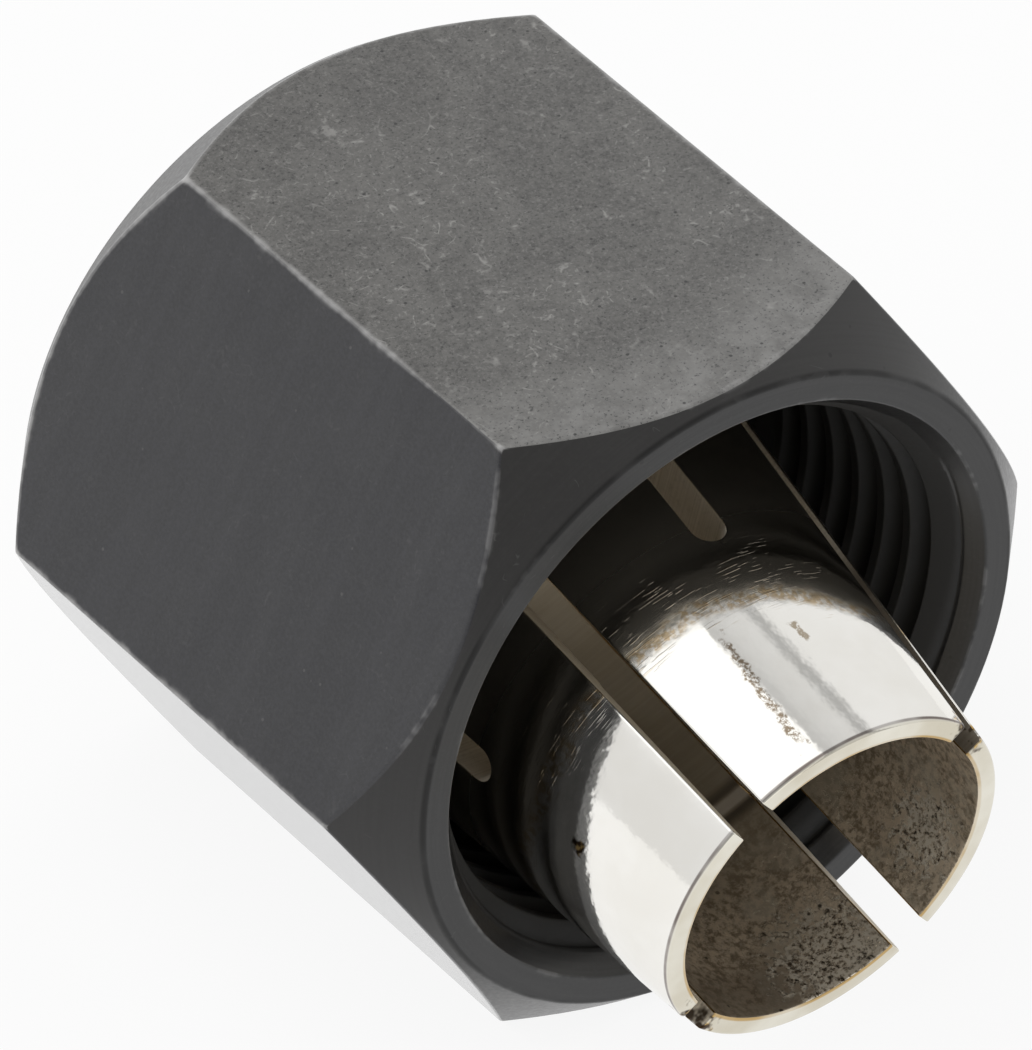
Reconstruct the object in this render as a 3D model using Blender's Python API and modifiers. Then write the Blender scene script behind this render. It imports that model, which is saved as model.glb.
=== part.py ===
# Router collet: a hexagonal collet nut with its split, tapered collet held loosely inside it.
#
# The nut lies on one of its flats, as a nut does on a table. Its axis runs along Y and its threaded
# mouth faces -Y. The origin is on the table, under the middle of the nut's length, +Z up.
# The collet hangs in the nut on a wire ring, so its tail droops until it meets the thread.
# All sizes are in metres. Turned pieces are drawn about local Z, with local +Z towards the mouth.

import math

import bmesh
import bpy
from mathutils import Matrix, Vector

MM = 0.001

# Nut, outside; every other radius follows inwards from the flats, wall by wall
ACROSS_FLATS = 28.575 * MM
NUT_LENGTH = 25.6 * MM
FACE_INSET = 0.3875 * MM
FRONT_CHAMFER_LENGTH = 2.8 * MM
BACK_CHAMFER_LENGTH = 3.1 * MM

# Nut, inside, from the mouth to the back; the thread takes what the other stretches leave
MOUTH_LAND = 1.15 * MM
COUNTERSINK_WIDTH = 1.4 * MM
COUNTERSINK_LENGTH = 1.9 * MM
THREAD_PITCH = 25.4 / 16 * MM
THREAD_START_ANGLE = math.radians(-50)
RELIEF_LENGTH = 3.6 * MM
RELIEF_CLEARANCE = 0.3 * MM
LIP_LENGTH = 2.0 * MM
SEAT_ANGLE = math.radians(45)
BACK_LAND = 0.4 * MM
HOLE_CHAMFER = 0.3 * MM

# Collet, from its head to the tip of its tail; its bore of 12.75 mm comes out of its walls
HEAD_RIM = 0.8 * MM
HEAD_STEP = 0.53 * MM
TAPER_ANGLE = math.radians(6.1)
TAIL_LENGTH = 27.4 * MM
TIP_WALL = 0.85 * MM
TAIL_BORE_WIDENING = 0.425 * MM
TAIL_BORE_LENGTH = 9.0 * MM
NOSE_WALL = 1.825 * MM
TIP_BEVEL = 0.15 * MM
NOSE_BEVEL = 0.4 * MM

# Slits: as many from the tail as from the head, by turns
SLIT_WIDTH = 1.5 * MM
SLITS_PER_END = 4
TAIL_SLIT_WEB = 3.9 * MM
HEAD_SLIT_STOP = 10.2 * MM
FIRST_SLIT_ANGLE = math.radians(37.4)

# Retaining ring, a split wire that springs out behind the nut's lip
WIRE_DIAMETER = 1.6 * MM
RING_CATCH = 0.4 * MM
RING_GAP_ANGLE = math.radians(24)

# Fits
HEAD_CLEARANCE = 0.35 * MM
NOSE_CLEARANCE = 1.1 * MM
GROOVE_CLEARANCE = 0.4 * MM
GROOVE_SIDE_CLEARANCE = 0.2 * MM
CHAMBER_CLEARANCE = 0.45 * MM
CHAMBER_SIDE_CLEARANCE = 0.25 * MM
DROOP_CLEARANCE = 0.2 * MM

# The collet's droop leans a little to one side
LEAN_ANGLE = math.radians(6.5)

# Round parts
TURN_STEPS = 72
WIRE_RESOLUTION = 2
SLIT_END_STEPS = 24
SMOOTH_ANGLE = math.radians(35)
PAST = 1.0 * MM
THREAD_CUT_OVERLAP = 0.1 * MM
SETTLING_STEPS = 12

# Worked out from the sizes above, as radii and as places on the nut's axis
CORNER_RADIUS = ACROSS_FLATS / math.sqrt(3)
AXIS_HEIGHT = ACROSS_FLATS / 2
MOUTH_Z = NUT_LENGTH / 2
BACK_Z = -NUT_LENGTH / 2
FACE_RADIUS = ACROSS_FLATS / 2 - FACE_INSET
MOUTH_RADIUS = FACE_RADIUS - MOUTH_LAND
MINOR_RADIUS = MOUTH_RADIUS - COUNTERSINK_WIDTH
COUNTERSINK_END_Z = MOUTH_Z - COUNTERSINK_LENGTH
THREAD_HEIGHT = THREAD_PITCH * math.sqrt(3) / 2
THREAD_DEPTH = THREAD_HEIGHT * 5 / 8
THREAD_CREST = THREAD_PITCH / 4
THREAD_ROOT = THREAD_PITCH / 8
RELIEF_RADIUS = MINOR_RADIUS + THREAD_DEPTH + RELIEF_CLEARANCE
RING_OUTER_RADIUS = MINOR_RADIUS + RING_CATCH
CHAMBER_RADIUS = RING_OUTER_RADIUS + CHAMBER_CLEARANCE
HEAD_RADIUS = MINOR_RADIUS - HEAD_CLEARANCE
GROOVE_RADIUS = RING_OUTER_RADIUS - WIRE_DIAMETER - GROOVE_CLEARANCE
GROOVE_WIDTH = WIRE_DIAMETER + 2 * GROOVE_SIDE_CLEARANCE
TAPER_RADIUS = HEAD_RADIUS - HEAD_STEP
TIP_RADIUS = TAPER_RADIUS - (TAIL_LENGTH - GROOVE_WIDTH / 2) * math.tan(TAPER_ANGLE)
TAIL_BORE_RADIUS = TIP_RADIUS - TIP_WALL
BORE_RADIUS = TAIL_BORE_RADIUS - TAIL_BORE_WIDENING
NOSE_RADIUS = BORE_RADIUS + NOSE_WALL
BACK_HOLE_RADIUS = NOSE_RADIUS + NOSE_CLEARANCE
SEAT_END_Z = BACK_Z + BACK_LAND
CHAMBER_END_Z = SEAT_END_Z + (CHAMBER_RADIUS - BACK_HOLE_RADIUS) / math.tan(SEAT_ANGLE)


def hang():
    """How far the collet droops, and the half length of the chamber in which its ring swings.

    The collet tips about the middle of its ring, until the lowest line of its taper meets the
    thread's first crest. More droop needs a longer chamber, so the two are settled together."""
    droop = 0
    for _ in range(SETTLING_STEPS):
        half_chamber = RING_OUTER_RADIUS * math.sin(droop) + WIRE_DIAMETER / 2 + CHAMBER_SIDE_CLEARANCE
        along = COUNTERSINK_END_Z - CHAMBER_END_Z - half_chamber
        across = MINOR_RADIUS - DROOP_CLEARANCE
        taper_offset = TIP_RADIUS * math.cos(TAPER_ANGLE) + TAIL_LENGTH * math.sin(TAPER_ANGLE)
        slope = math.acos(taper_offset / math.hypot(along, across)) - math.atan2(along, across)
        droop = TAPER_ANGLE + slope
    return droop, half_chamber


DROOP_ANGLE, HALF_CHAMBER = hang()
PIVOT_Z = CHAMBER_END_Z + HALF_CHAMBER
CHAMBER_TOP_Z = PIVOT_Z + HALF_CHAMBER
RELIEF_END_Z = CHAMBER_TOP_Z + LIP_LENGTH
THREAD_END_Z = RELIEF_END_Z + RELIEF_LENGTH


def new_collection(name):
    collection = bpy.data.collections.new(name)
    bpy.context.scene.collection.children.link(collection)
    return collection


def clear_scene():
    for old in list(bpy.data.objects):
        bpy.data.objects.remove(old)


def make_material(name, color, metallic, roughness):
    material = bpy.data.materials.new(name)
    material.use_nodes = True
    shader = material.node_tree.nodes["Principled BSDF"]
    shader.inputs["Base Color"].default_value = (*color, 1.0)
    shader.inputs["Metallic"].default_value = metallic
    shader.inputs["Roughness"].default_value = roughness
    return material


def add_object(name, mesh, collection, material=None):
    item = bpy.data.objects.new(name, mesh)
    collection.objects.link(item)
    if material:
        mesh.materials.append(material)
    return item


def mesh_from(bm, name):
    mesh = bpy.data.meshes.new(name)
    bmesh.ops.recalc_face_normals(bm, faces=bm.faces)
    bm.to_mesh(mesh)
    bm.free()
    return mesh


def turned(name, profile, collection, material=None):
    """A closed solid of revolution about local Z, from its (radius, z) outline, top to bottom outside."""
    mesh = bpy.data.meshes.new(name)
    points = [(radius, 0, z) for radius, z in profile]
    closed = profile[0][0] > 0
    edges = [(i, i + 1) for i in range(len(points) - 1)]
    if closed:
        edges.append((len(points) - 1, 0))
    mesh.from_pydata(points, edges, [])
    item = add_object(name, mesh, collection, material)
    screw = item.modifiers.new("Turn", "SCREW")
    screw.axis = "Z"
    screw.steps = TURN_STEPS
    screw.render_steps = TURN_STEPS
    screw.use_merge_vertices = True
    screw.merge_threshold = 0.00001
    screw.use_smooth_shade = False
    return item


def hide_cutter(cutter):
    cutter.hide_render = True
    cutter.display_type = "WIRE"


def cut(target, cutter, operation="DIFFERENCE"):
    boolean = target.modifiers.new(cutter.name, "BOOLEAN")
    boolean.object = cutter
    boolean.operation = operation
    boolean.solver = "EXACT"


def smooth_round_parts(item):
    item.data.shade_smooth()
    item.data.set_sharp_from_angle(angle=SMOOTH_ANGLE)


def bake_modifiers(item):
    """Replaces the object's mesh by its evaluated one, with smooth round faces and crisp edges."""
    depsgraph = bpy.context.evaluated_depsgraph_get()
    depsgraph.update()
    evaluated = bpy.data.meshes.new_from_object(item.evaluated_get(depsgraph))
    item.modifiers.clear()
    item.data = evaluated
    smooth_round_parts(item)


def hexagon(collection, material):
    """The hex bar, with a flat under it once the nut's local Y points up."""
    bm = bmesh.new()
    bmesh.ops.create_cone(
        bm, cap_ends=True, segments=6, radius1=CORNER_RADIUS, radius2=CORNER_RADIUS, depth=NUT_LENGTH)
    bmesh.ops.rotate(bm, verts=bm.verts, cent=(0, 0, 0), matrix=Matrix.Rotation(math.pi / 6, 3, "Z"))
    return add_object("collet_nut", mesh_from(bm, "collet_nut"), collection, material)


def chamfer_outline():
    """Both end faces and their chamfer cones, which run on past the hexagon's corners."""
    beyond = CORNER_RADIUS + PAST
    front_slope = FRONT_CHAMFER_LENGTH / (CORNER_RADIUS - FACE_RADIUS)
    back_slope = BACK_CHAMFER_LENGTH / (CORNER_RADIUS - FACE_RADIUS)
    return [
        (0, MOUTH_Z + PAST),
        (FACE_RADIUS - PAST / front_slope, MOUTH_Z + PAST),
        (beyond, MOUTH_Z - (beyond - FACE_RADIUS) * front_slope),
        (beyond, BACK_Z + (beyond - FACE_RADIUS) * back_slope),
        (FACE_RADIUS - PAST / back_slope, BACK_Z - PAST),
        (0, BACK_Z - PAST),
    ]


def nut_bore_outline():
    """The nut's inside, from the mouth to the back."""
    widening = COUNTERSINK_WIDTH / COUNTERSINK_LENGTH
    relief_step = RELIEF_RADIUS - MINOR_RADIUS
    return [
        (0, MOUTH_Z + PAST),
        (MOUTH_RADIUS + PAST * widening, MOUTH_Z + PAST),
        (MINOR_RADIUS, COUNTERSINK_END_Z),
        (MINOR_RADIUS, THREAD_END_Z),
        (RELIEF_RADIUS, THREAD_END_Z - relief_step),
        (RELIEF_RADIUS, RELIEF_END_Z + relief_step),
        (MINOR_RADIUS, RELIEF_END_Z),
        (MINOR_RADIUS, CHAMBER_TOP_Z),
        (CHAMBER_RADIUS, CHAMBER_TOP_Z),
        (CHAMBER_RADIUS, CHAMBER_END_Z),
        (BACK_HOLE_RADIUS, SEAT_END_Z),
        (BACK_HOLE_RADIUS, BACK_Z + HOLE_CHAMFER),
        (BACK_HOLE_RADIUS + HOLE_CHAMFER + PAST, BACK_Z - PAST),
        (0, BACK_Z - PAST),
    ]


def thread_cutter(collection):
    """One V groove with a flat bottom, swept up a helix from the relief to past the mouth.

    Its sections fall halfway between the turned bore's, so that no two edges meet."""
    half_open = (THREAD_PITCH - THREAD_CREST) / 2
    half_root = THREAD_ROOT / 2
    flank = THREAD_DEPTH / (half_open - half_root)
    inner = MINOR_RADIUS - THREAD_CUT_OVERLAP
    half_inner = half_open + THREAD_CUT_OVERLAP / flank
    start_z = THREAD_END_Z - THREAD_PITCH / 2
    turns = math.ceil((MOUTH_Z + PAST - start_z) / THREAD_PITCH)
    corners = [
        (inner, -half_inner),
        (MINOR_RADIUS + THREAD_DEPTH, -half_root),
        (MINOR_RADIUS + THREAD_DEPTH, half_root),
        (inner, half_inner),
    ]
    bm = bmesh.new()
    steps = turns * TURN_STEPS
    for step in range(steps + 1):
        angle = THREAD_START_ANGLE + (step + 0.5) / TURN_STEPS * 2 * math.pi
        rise = start_z + step / TURN_STEPS * THREAD_PITCH
        for radius, z in corners:
            bm.verts.new((radius * math.cos(angle), radius * math.sin(angle), z + rise))
    bm.verts.ensure_lookup_table()
    count = len(corners)
    for step in range(steps):
        for side in range(count):
            a = step * count + side
            b = step * count + (side + 1) % count
            bm.faces.new([bm.verts[i] for i in (a, b, b + count, a + count)])
    bmesh.ops.holes_fill(bm, edges=[edge for edge in bm.edges if edge.is_boundary])
    return add_object("cut_thread", mesh_from(bm, "cut_thread"), collection)


def make_nut(parts, cutters):
    steel = make_material("black_oxide_steel", (0.075, 0.074, 0.075), 0.6, 0.5)
    nut = hexagon(parts, steel)
    tools = [
        (turned("cut_chamfers", chamfer_outline(), cutters), "INTERSECT"),
        (turned("cut_nut_bore", nut_bore_outline(), cutters), "DIFFERENCE"),
        (thread_cutter(cutters), "DIFFERENCE"),
    ]
    place = Matrix.Translation((0, 0, AXIS_HEIGHT)) @ Matrix.Rotation(math.pi / 2, 4, "X")
    for tool, operation in tools:
        hide_cutter(tool)
        tool.matrix_world = place
        cut(nut, tool, operation)
    nut.matrix_world = place
    bake_modifiers(nut)
    return nut


def head_end_z():
    """The end of the collet's head, in its own z from the pivot."""
    cone = (HEAD_RADIUS - NOSE_RADIUS) / math.tan(SEAT_ANGLE)
    return -GROOVE_WIDTH / 2 - HEAD_RIM - cone


def collet_outline():
    """The collet's section, in its own z from the pivot: down its outside and back up its bore."""
    end = head_end_z()
    groove_top = GROOVE_WIDTH / 2
    taper = math.tan(TAPER_ANGLE)
    bore_step_z = TAIL_LENGTH - TAIL_BORE_LENGTH
    return [
        (TAIL_BORE_RADIUS, TAIL_LENGTH),
        (TIP_RADIUS - TIP_BEVEL, TAIL_LENGTH),
        (TIP_RADIUS + TIP_BEVEL * taper, TAIL_LENGTH - TIP_BEVEL),
        (TAPER_RADIUS, groove_top),
        (GROOVE_RADIUS, groove_top),
        (GROOVE_RADIUS, -groove_top),
        (HEAD_RADIUS, -groove_top),
        (HEAD_RADIUS, -groove_top - HEAD_RIM),
        (NOSE_RADIUS, end),
        (BORE_RADIUS + NOSE_BEVEL, end),
        (BORE_RADIUS, end + NOSE_BEVEL),
        (BORE_RADIUS, bore_step_z - TAIL_BORE_WIDENING),
        (TAIL_BORE_RADIUS, bore_step_z),
    ]


def slit_cutter(name, low, high, angle, collection):
    """A round-ended plate across the collet, low to high along its axis, turned to angle."""
    radius = SLIT_WIDTH / 2
    reach = HEAD_RADIUS + PAST
    bm = bmesh.new()
    bmesh.ops.create_circle(bm, cap_ends=True, segments=SLIT_END_STEPS, radius=radius)
    for vert in bm.verts:
        vert.co.y += high - radius if vert.co.y > 0 else low + radius
    bmesh.ops.rotate(bm, verts=bm.verts, cent=(0, 0, 0), matrix=Matrix.Rotation(math.pi / 2, 3, "X"))
    bmesh.ops.translate(bm, verts=bm.verts, vec=(0, reach, 0))
    swept = bmesh.ops.extrude_face_region(bm, geom=list(bm.faces))["geom"]
    moved = [item for item in swept if isinstance(item, bmesh.types.BMVert)]
    bmesh.ops.translate(bm, verts=moved, vec=(0, -2 * reach, 0))
    turn = Matrix.Rotation(angle - math.pi / 2, 3, "Z")
    bmesh.ops.rotate(bm, verts=bm.verts, cent=(0, 0, 0), matrix=turn)
    return add_object(name, mesh_from(bm, name), collection)


def make_collet(parts, cutters, pivot):
    nickel = make_material("nickel_plate", (0.72, 0.69, 0.62), 1.0, 0.22)
    collet = turned("split_collet", collet_outline(), parts, nickel)
    past_tip = TAIL_LENGTH + SLIT_WIDTH + PAST
    past_head = head_end_z() - SLIT_WIDTH - PAST
    spacing = 2 * math.pi / SLITS_PER_END
    for number in range(SLITS_PER_END // 2):
        angle = FIRST_SLIT_ANGLE + number * spacing
        between = angle + spacing / 2
        stop = TAIL_LENGTH - HEAD_SLIT_STOP
        tools = [
            slit_cutter(f"cut_tail_slit_{number}", TAIL_SLIT_WEB, past_tip, angle, cutters),
            slit_cutter(f"cut_head_slit_{number}", past_head, stop, between, cutters),
        ]
        for tool in tools:
            hide_cutter(tool)
            tool.parent = pivot
            cut(collet, tool)
    collet.parent = pivot
    bake_modifiers(collet)
    return collet


def make_ring(parts, pivot):
    """The split wire ring, a bent wire with cut ends."""
    spring = make_material("spring_wire", (0.32, 0.31, 0.30), 1.0, 0.35)
    curve = bpy.data.curves.new("retaining_ring", "CURVE")
    curve.dimensions = "3D"
    curve.bevel_depth = WIRE_DIAMETER / 2
    curve.bevel_resolution = WIRE_RESOLUTION
    curve.use_fill_caps = True
    spline = curve.splines.new("POLY")
    radius = RING_OUTER_RADIUS - WIRE_DIAMETER / 2
    arc = 2 * math.pi - RING_GAP_ANGLE
    spline.points.add(TURN_STEPS)
    for number, point in enumerate(spline.points):
        angle = math.pi / 2 + RING_GAP_ANGLE / 2 + arc * number / TURN_STEPS
        point.co = (radius * math.cos(angle), radius * math.sin(angle), 0, 1)
    ring = bpy.data.objects.new("retaining_ring", curve)
    parts.objects.link(ring)
    curve.materials.append(spring)
    ring.parent = pivot
    return ring


def make_pivot(parts):
    """The empty that the drooping collet hangs on: its local Z runs along the collet, to its tail."""
    pivot = bpy.data.objects.new("collet_pivot", None)
    parts.objects.link(pivot)
    hinge = Vector((math.cos(LEAN_ANGLE), 0, -math.sin(LEAN_ANGLE)))
    droop = Matrix.Rotation(DROOP_ANGLE, 4, hinge)
    lie_down = Matrix.Rotation(math.pi / 2, 4, "X")
    pivot.matrix_world = Matrix.Translation((0, -PIVOT_Z, AXIS_HEIGHT)) @ droop @ lie_down
    bpy.context.view_layer.update()
    return pivot


def main():
    clear_scene()
    parts = new_collection("router_collet")
    cutters = new_collection("cutters")
    make_nut(parts, cutters)
    pivot = make_pivot(parts)
    make_collet(parts, cutters, pivot)
    make_ring(parts, pivot)


main()
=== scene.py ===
import math

import bmesh
import bpy
from mathutils import Matrix, Vector


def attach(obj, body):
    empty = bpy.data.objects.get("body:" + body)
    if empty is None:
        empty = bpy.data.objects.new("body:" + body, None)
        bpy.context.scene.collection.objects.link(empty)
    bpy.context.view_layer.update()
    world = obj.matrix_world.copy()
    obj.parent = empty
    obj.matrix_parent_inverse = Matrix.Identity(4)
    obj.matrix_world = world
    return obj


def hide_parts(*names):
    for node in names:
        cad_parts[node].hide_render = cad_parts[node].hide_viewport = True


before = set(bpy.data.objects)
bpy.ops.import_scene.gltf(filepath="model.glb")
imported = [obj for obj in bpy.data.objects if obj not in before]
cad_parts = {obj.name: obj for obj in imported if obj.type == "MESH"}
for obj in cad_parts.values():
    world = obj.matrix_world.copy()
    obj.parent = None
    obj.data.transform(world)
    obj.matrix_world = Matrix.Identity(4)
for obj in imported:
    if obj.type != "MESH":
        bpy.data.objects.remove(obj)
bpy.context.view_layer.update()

# A hexagonal collet nut in black oxide, lying on a flat, and the nickel-plated split collet that hangs
# in its threaded mouth. The shapes here are finer copies of the CAD pieces: same sizes, same places,
# with worn round edges. Turned pieces are drawn about local Z, with local +Z towards the mouth.

MM = 0.001
TURN = 2 * math.pi

# Nut, the same sizes as the CAD part
ACROSS_FLATS = 28.575 * MM
NUT_LENGTH = 25.6 * MM
FACE_RADIUS = 13.9 * MM
FRONT_CHAMFER_LENGTH = 2.8 * MM
BACK_CHAMFER_LENGTH = 3.1 * MM
MOUTH_RADIUS = 12.75 * MM
COUNTERSINK_WIDTH = 1.4 * MM
COUNTERSINK_LENGTH = 1.9 * MM
MINOR_RADIUS = MOUTH_RADIUS - COUNTERSINK_WIDTH
THREAD_PITCH = 25.4 / 16 * MM
THREAD_DEPTH = THREAD_PITCH * math.sqrt(3) / 2 * 5 / 8
THREAD_END_Z = 1.52405 * MM
GROOVE_START_ANGLE = math.radians(-47.5)
RELIEF_RADIUS = MINOR_RADIUS + THREAD_DEPTH + 0.3 * MM
RELIEF_END_Z = THREAD_END_Z - 3.6 * MM
CHAMBER_TOP_Z = RELIEF_END_Z - 2.0 * MM
CHAMBER_END_Z = -9.49865 * MM
CHAMBER_RADIUS = 12.2 * MM
BACK_HOLE_RADIUS = 9.29865 * MM
BACK_LAND = 0.4 * MM
HOLE_CHAMFER = 0.3 * MM
CORNER_RADIUS = ACROSS_FLATS / math.sqrt(3)
MOUTH_Z = NUT_LENGTH / 2
BACK_Z = -NUT_LENGTH / 2
AXIS_HEIGHT = ACROSS_FLATS / 2

# The thread's grid: where it meets the rest of the nut, and its rows as shares of one turn
GRID_TOP_Z = MOUTH_Z - 0.1 * MM
GRID_LOW_Z = (THREAD_END_Z + RELIEF_END_Z) / 2
GROOVE_FLOOR_SHARE = 1 / 16
GROOVE_EDGE_SHARE = 3 / 8
THREAD_SHARES = [-0.5, -0.43, -0.385, -0.375, -0.35, -0.28, -0.2, -0.12, -0.075, -0.0625,
                 0, 0.0625, 0.075, 0.12, 0.2, 0.28, 0.35, 0.375, 0.385, 0.43]
COUNTERSINK_SHOWN = 0.8 * MM

# Collet, measured from the pivot in the middle of its ring
PIVOT_Z = -6.7873 * MM
DROOP_ANGLE = math.radians(8.128373)
LEAN_ANGLE = math.radians(6.5)
TAIL_LENGTH = 27.4 * MM
TAPER_ANGLE = math.radians(6.1)
TAPER_RADIUS = 10.47 * MM
TIP_RADIUS = 7.64865 * MM
TAIL_BORE_RADIUS = 6.79865 * MM
TAIL_BORE_LENGTH = 9.0 * MM
BORE_RADIUS = 6.37365 * MM
NOSE_RADIUS = 8.19865 * MM
NOSE_BEVEL = 0.4 * MM
HEAD_RADIUS = 11.0 * MM
HEAD_RIM = 0.8 * MM
GROOVE_RADIUS = 9.75 * MM
GROOVE_TOP = 1.0 * MM
HEAD_END_Z = -GROOVE_TOP - HEAD_RIM - (HEAD_RADIUS - NOSE_RADIUS)
SLIT_HALF = 0.75 * MM
TAIL_SLIT_STOP = 3.9 * MM
HEAD_SLIT_STOP = TAIL_LENGTH - 10.2 * MM
FIRST_SLIT_ANGLE = math.radians(37.4)
SLITS_PER_END = 4
TIP_ROWS = 5

# Rows of the collet beside its slits' round ends: where they start on the plain side, and how long they run
ROUND_STEPS = 9
TAIL_STOP_ROWS = (3.5 * MM, 1.9 * MM)
HEAD_STOP_ROWS = (15.7 * MM, 1.75 * MM)

# Ring
WIRE_RADIUS = 0.8 * MM
RING_RADIUS = 11.75 * MM - WIRE_RADIUS
RING_GAP_ANGLE = math.radians(24)

# Wear on the edges
CORNER_ROUNDING = 0.16 * MM
EDGE_CUT = 0.10 * MM
FINE_CUT = 0.07 * MM
HEAD_CUT = 0.12 * MM
TIP_CUT = 0.17 * MM
TIP_BORE_CUT = 0.1 * MM
SLIT_EDGE = 0.06 * MM
WEAR_REACH = 0.11 * MM
EDGE_WEAR = {1: 0.44, 2: 0.22, 3: 0.48, 4: 0.86, 5: 0.5}
CORNER_WEAR = 0.92
CREST_WEAR = 0.3


# Meshes

def bend(before, corner, after, cut, count=4):
    """Points of a small round at a section's corner, from a cut's length before it to one after it."""
    start = corner.lerp(before, min(0.45, cut / max(1e-9, (before - corner).length)))
    end = corner.lerp(after, min(0.45, cut / max(1e-9, (after - corner).length)))
    made = []
    for number in range(count + 1):
        t = number / count
        made.append(start * (1 - t) ** 2 + corner * 2 * t * (1 - t) + end * t ** 2)
    return made


def section(corners, cuts, fills):
    """A section's rows of (radius, z): round corners, and points spaced by the given shares between them."""
    points = [Vector(corner) for corner in corners]
    rounds = [[points[0]]]
    for i in range(1, len(points) - 1):
        rounds.append(bend(points[i - 1], points[i], points[i + 1], cuts[i - 1]))
    rounds.append([points[-1]])
    rows, marks = [], []
    for i, group in enumerate(rounds):
        rows += group
        marks += [i] * len(group)
        if i < len(rounds) - 1:
            for share in fills[i]:
                rows.append(group[-1].lerp(rounds[i + 1][0], share))
                marks.append(i + 0.5)
    return rows, marks


def hex_radius(angle):
    """The nut's radius across its rounded hexagon, and the distance from the nearest corner's line."""
    off = (angle / TURN * 6 + 0.5) % 1 - 0.5
    off = abs(off) * TURN / 6
    centre = (ACROSS_FLATS / 2 - CORNER_ROUNDING) / math.cos(math.pi / 6)
    touch = math.atan2(CORNER_ROUNDING / 2, centre + CORNER_ROUNDING * math.cos(math.pi / 6))
    if off < touch:
        radius = centre * math.cos(off) + math.sqrt(CORNER_ROUNDING ** 2 - (centre * math.sin(off)) ** 2)
        return radius, 0
    return ACROSS_FLATS / 2 / math.cos(math.pi / 6 - off), (off - touch) * CORNER_RADIUS


def column_angles():
    """Angles round the nut, close together at each corner of the hexagon."""
    near = [0, 0.12, 0.24, 0.38, 0.6, 0.95, 1.5, 2.5]
    middle = [4 + 2.6 * i for i in range(21)]
    sector = near + middle + [60 - a for a in reversed(near[1:])]
    return [math.radians(60 * s + a) for s in range(6) for a in sector]


def inside_radius(z, angle):
    """The threaded bore's radius at a point: the widest of the thread, the countersink and the relief."""
    turns = (z - (THREAD_END_Z - THREAD_PITCH / 2)) / THREAD_PITCH - (angle - GROOVE_START_ANGLE) / TURN
    off = abs((turns + 0.5) % 1 - 0.5)
    flank = (GROOVE_EDGE_SHARE - off) / (GROOVE_EDGE_SHARE - GROOVE_FLOOR_SHARE)
    groove = MINOR_RADIUS + THREAD_DEPTH * min(1, max(0, flank))
    cone = MOUTH_RADIUS - (MOUTH_Z - z) * COUNTERSINK_WIDTH / COUNTERSINK_LENGTH
    relief = RELIEF_RADIUS - max(0, z - (THREAD_END_Z - (RELIEF_RADIUS - MINOR_RADIUS)))
    return max(groove, cone, relief, MINOR_RADIUS)


def nut_sections(angle):
    """One column of the nut's rows of (radius, z, kind, wear), from the countersink round to the relief."""
    reach, corner_distance = hex_radius(angle)
    front = FRONT_CHAMFER_LENGTH / (CORNER_RADIUS - FACE_RADIUS)
    back = BACK_CHAMFER_LENGTH / (CORNER_RADIUS - FACE_RADIUS)
    step = RELIEF_RADIUS - MINOR_RADIUS
    corners = [
        (inside_radius(GRID_TOP_Z, 0), GRID_TOP_Z),
        (MOUTH_RADIUS, MOUTH_Z),
        (FACE_RADIUS, MOUTH_Z),
        (reach, MOUTH_Z - (reach - FACE_RADIUS) * front),
        (reach, BACK_Z + (reach - FACE_RADIUS) * back),
        (FACE_RADIUS, BACK_Z),
        (BACK_HOLE_RADIUS + HOLE_CHAMFER, BACK_Z),
        (BACK_HOLE_RADIUS, BACK_Z + HOLE_CHAMFER),
        (BACK_HOLE_RADIUS, BACK_Z + BACK_LAND),
        (CHAMBER_RADIUS, CHAMBER_END_Z),
        (CHAMBER_RADIUS, CHAMBER_TOP_Z),
        (MINOR_RADIUS, CHAMBER_TOP_Z),
        (MINOR_RADIUS, RELIEF_END_Z),
        (RELIEF_RADIUS, RELIEF_END_Z + step),
        (RELIEF_RADIUS, GRID_LOW_Z),
    ]
    cuts = [FINE_CUT, EDGE_CUT, EDGE_CUT, EDGE_CUT, EDGE_CUT] + [FINE_CUT] * 8
    ring = [0.06, 0.2, 0.5, 0.8, 0.94]
    cone = [0.03, 0.1, 0.25, 0.5, 0.75, 0.9, 0.97]
    flat = [0.004, 0.012, 0.03, 0.07, 0.13, 0.2, 0.3, 0.4, 0.5, 0.6, 0.7, 0.8, 0.87, 0.93, 0.97, 0.988, 0.996]
    face = [0.02, 0.06, 0.2, 0.4, 0.6, 0.8, 0.94, 0.98]
    plain = [0.05, 0.5, 0.95]
    fills = [[], ring, cone, flat, cone, face, [0.5], [], plain, plain, plain, plain, plain, [0.5]]
    kinds = ["cone", "ring", "cone", "flat", "cone", "ring"] + ["inside"] * 8
    rows, marks = section(corners, cuts, fills)
    worn = [i for i, mark in enumerate(marks) if mark in EDGE_WEAR]
    made = []
    for i, (row, mark) in enumerate(zip(rows, marks)):
        wear = max(EDGE_WEAR[marks[j]] * math.exp(-(rows[j] - row).length / WEAR_REACH) for j in worn)
        if 3 <= mark <= 4:
            corner = CORNER_WEAR * math.exp(-corner_distance / WEAR_REACH)
            wear = max(wear, corner) + wear * corner
        kind = "flat" if mark == 4 else kinds[min(int(mark), len(kinds) - 1)]
        made.append((row.x, row.y, kind, wear))
    return made


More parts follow.
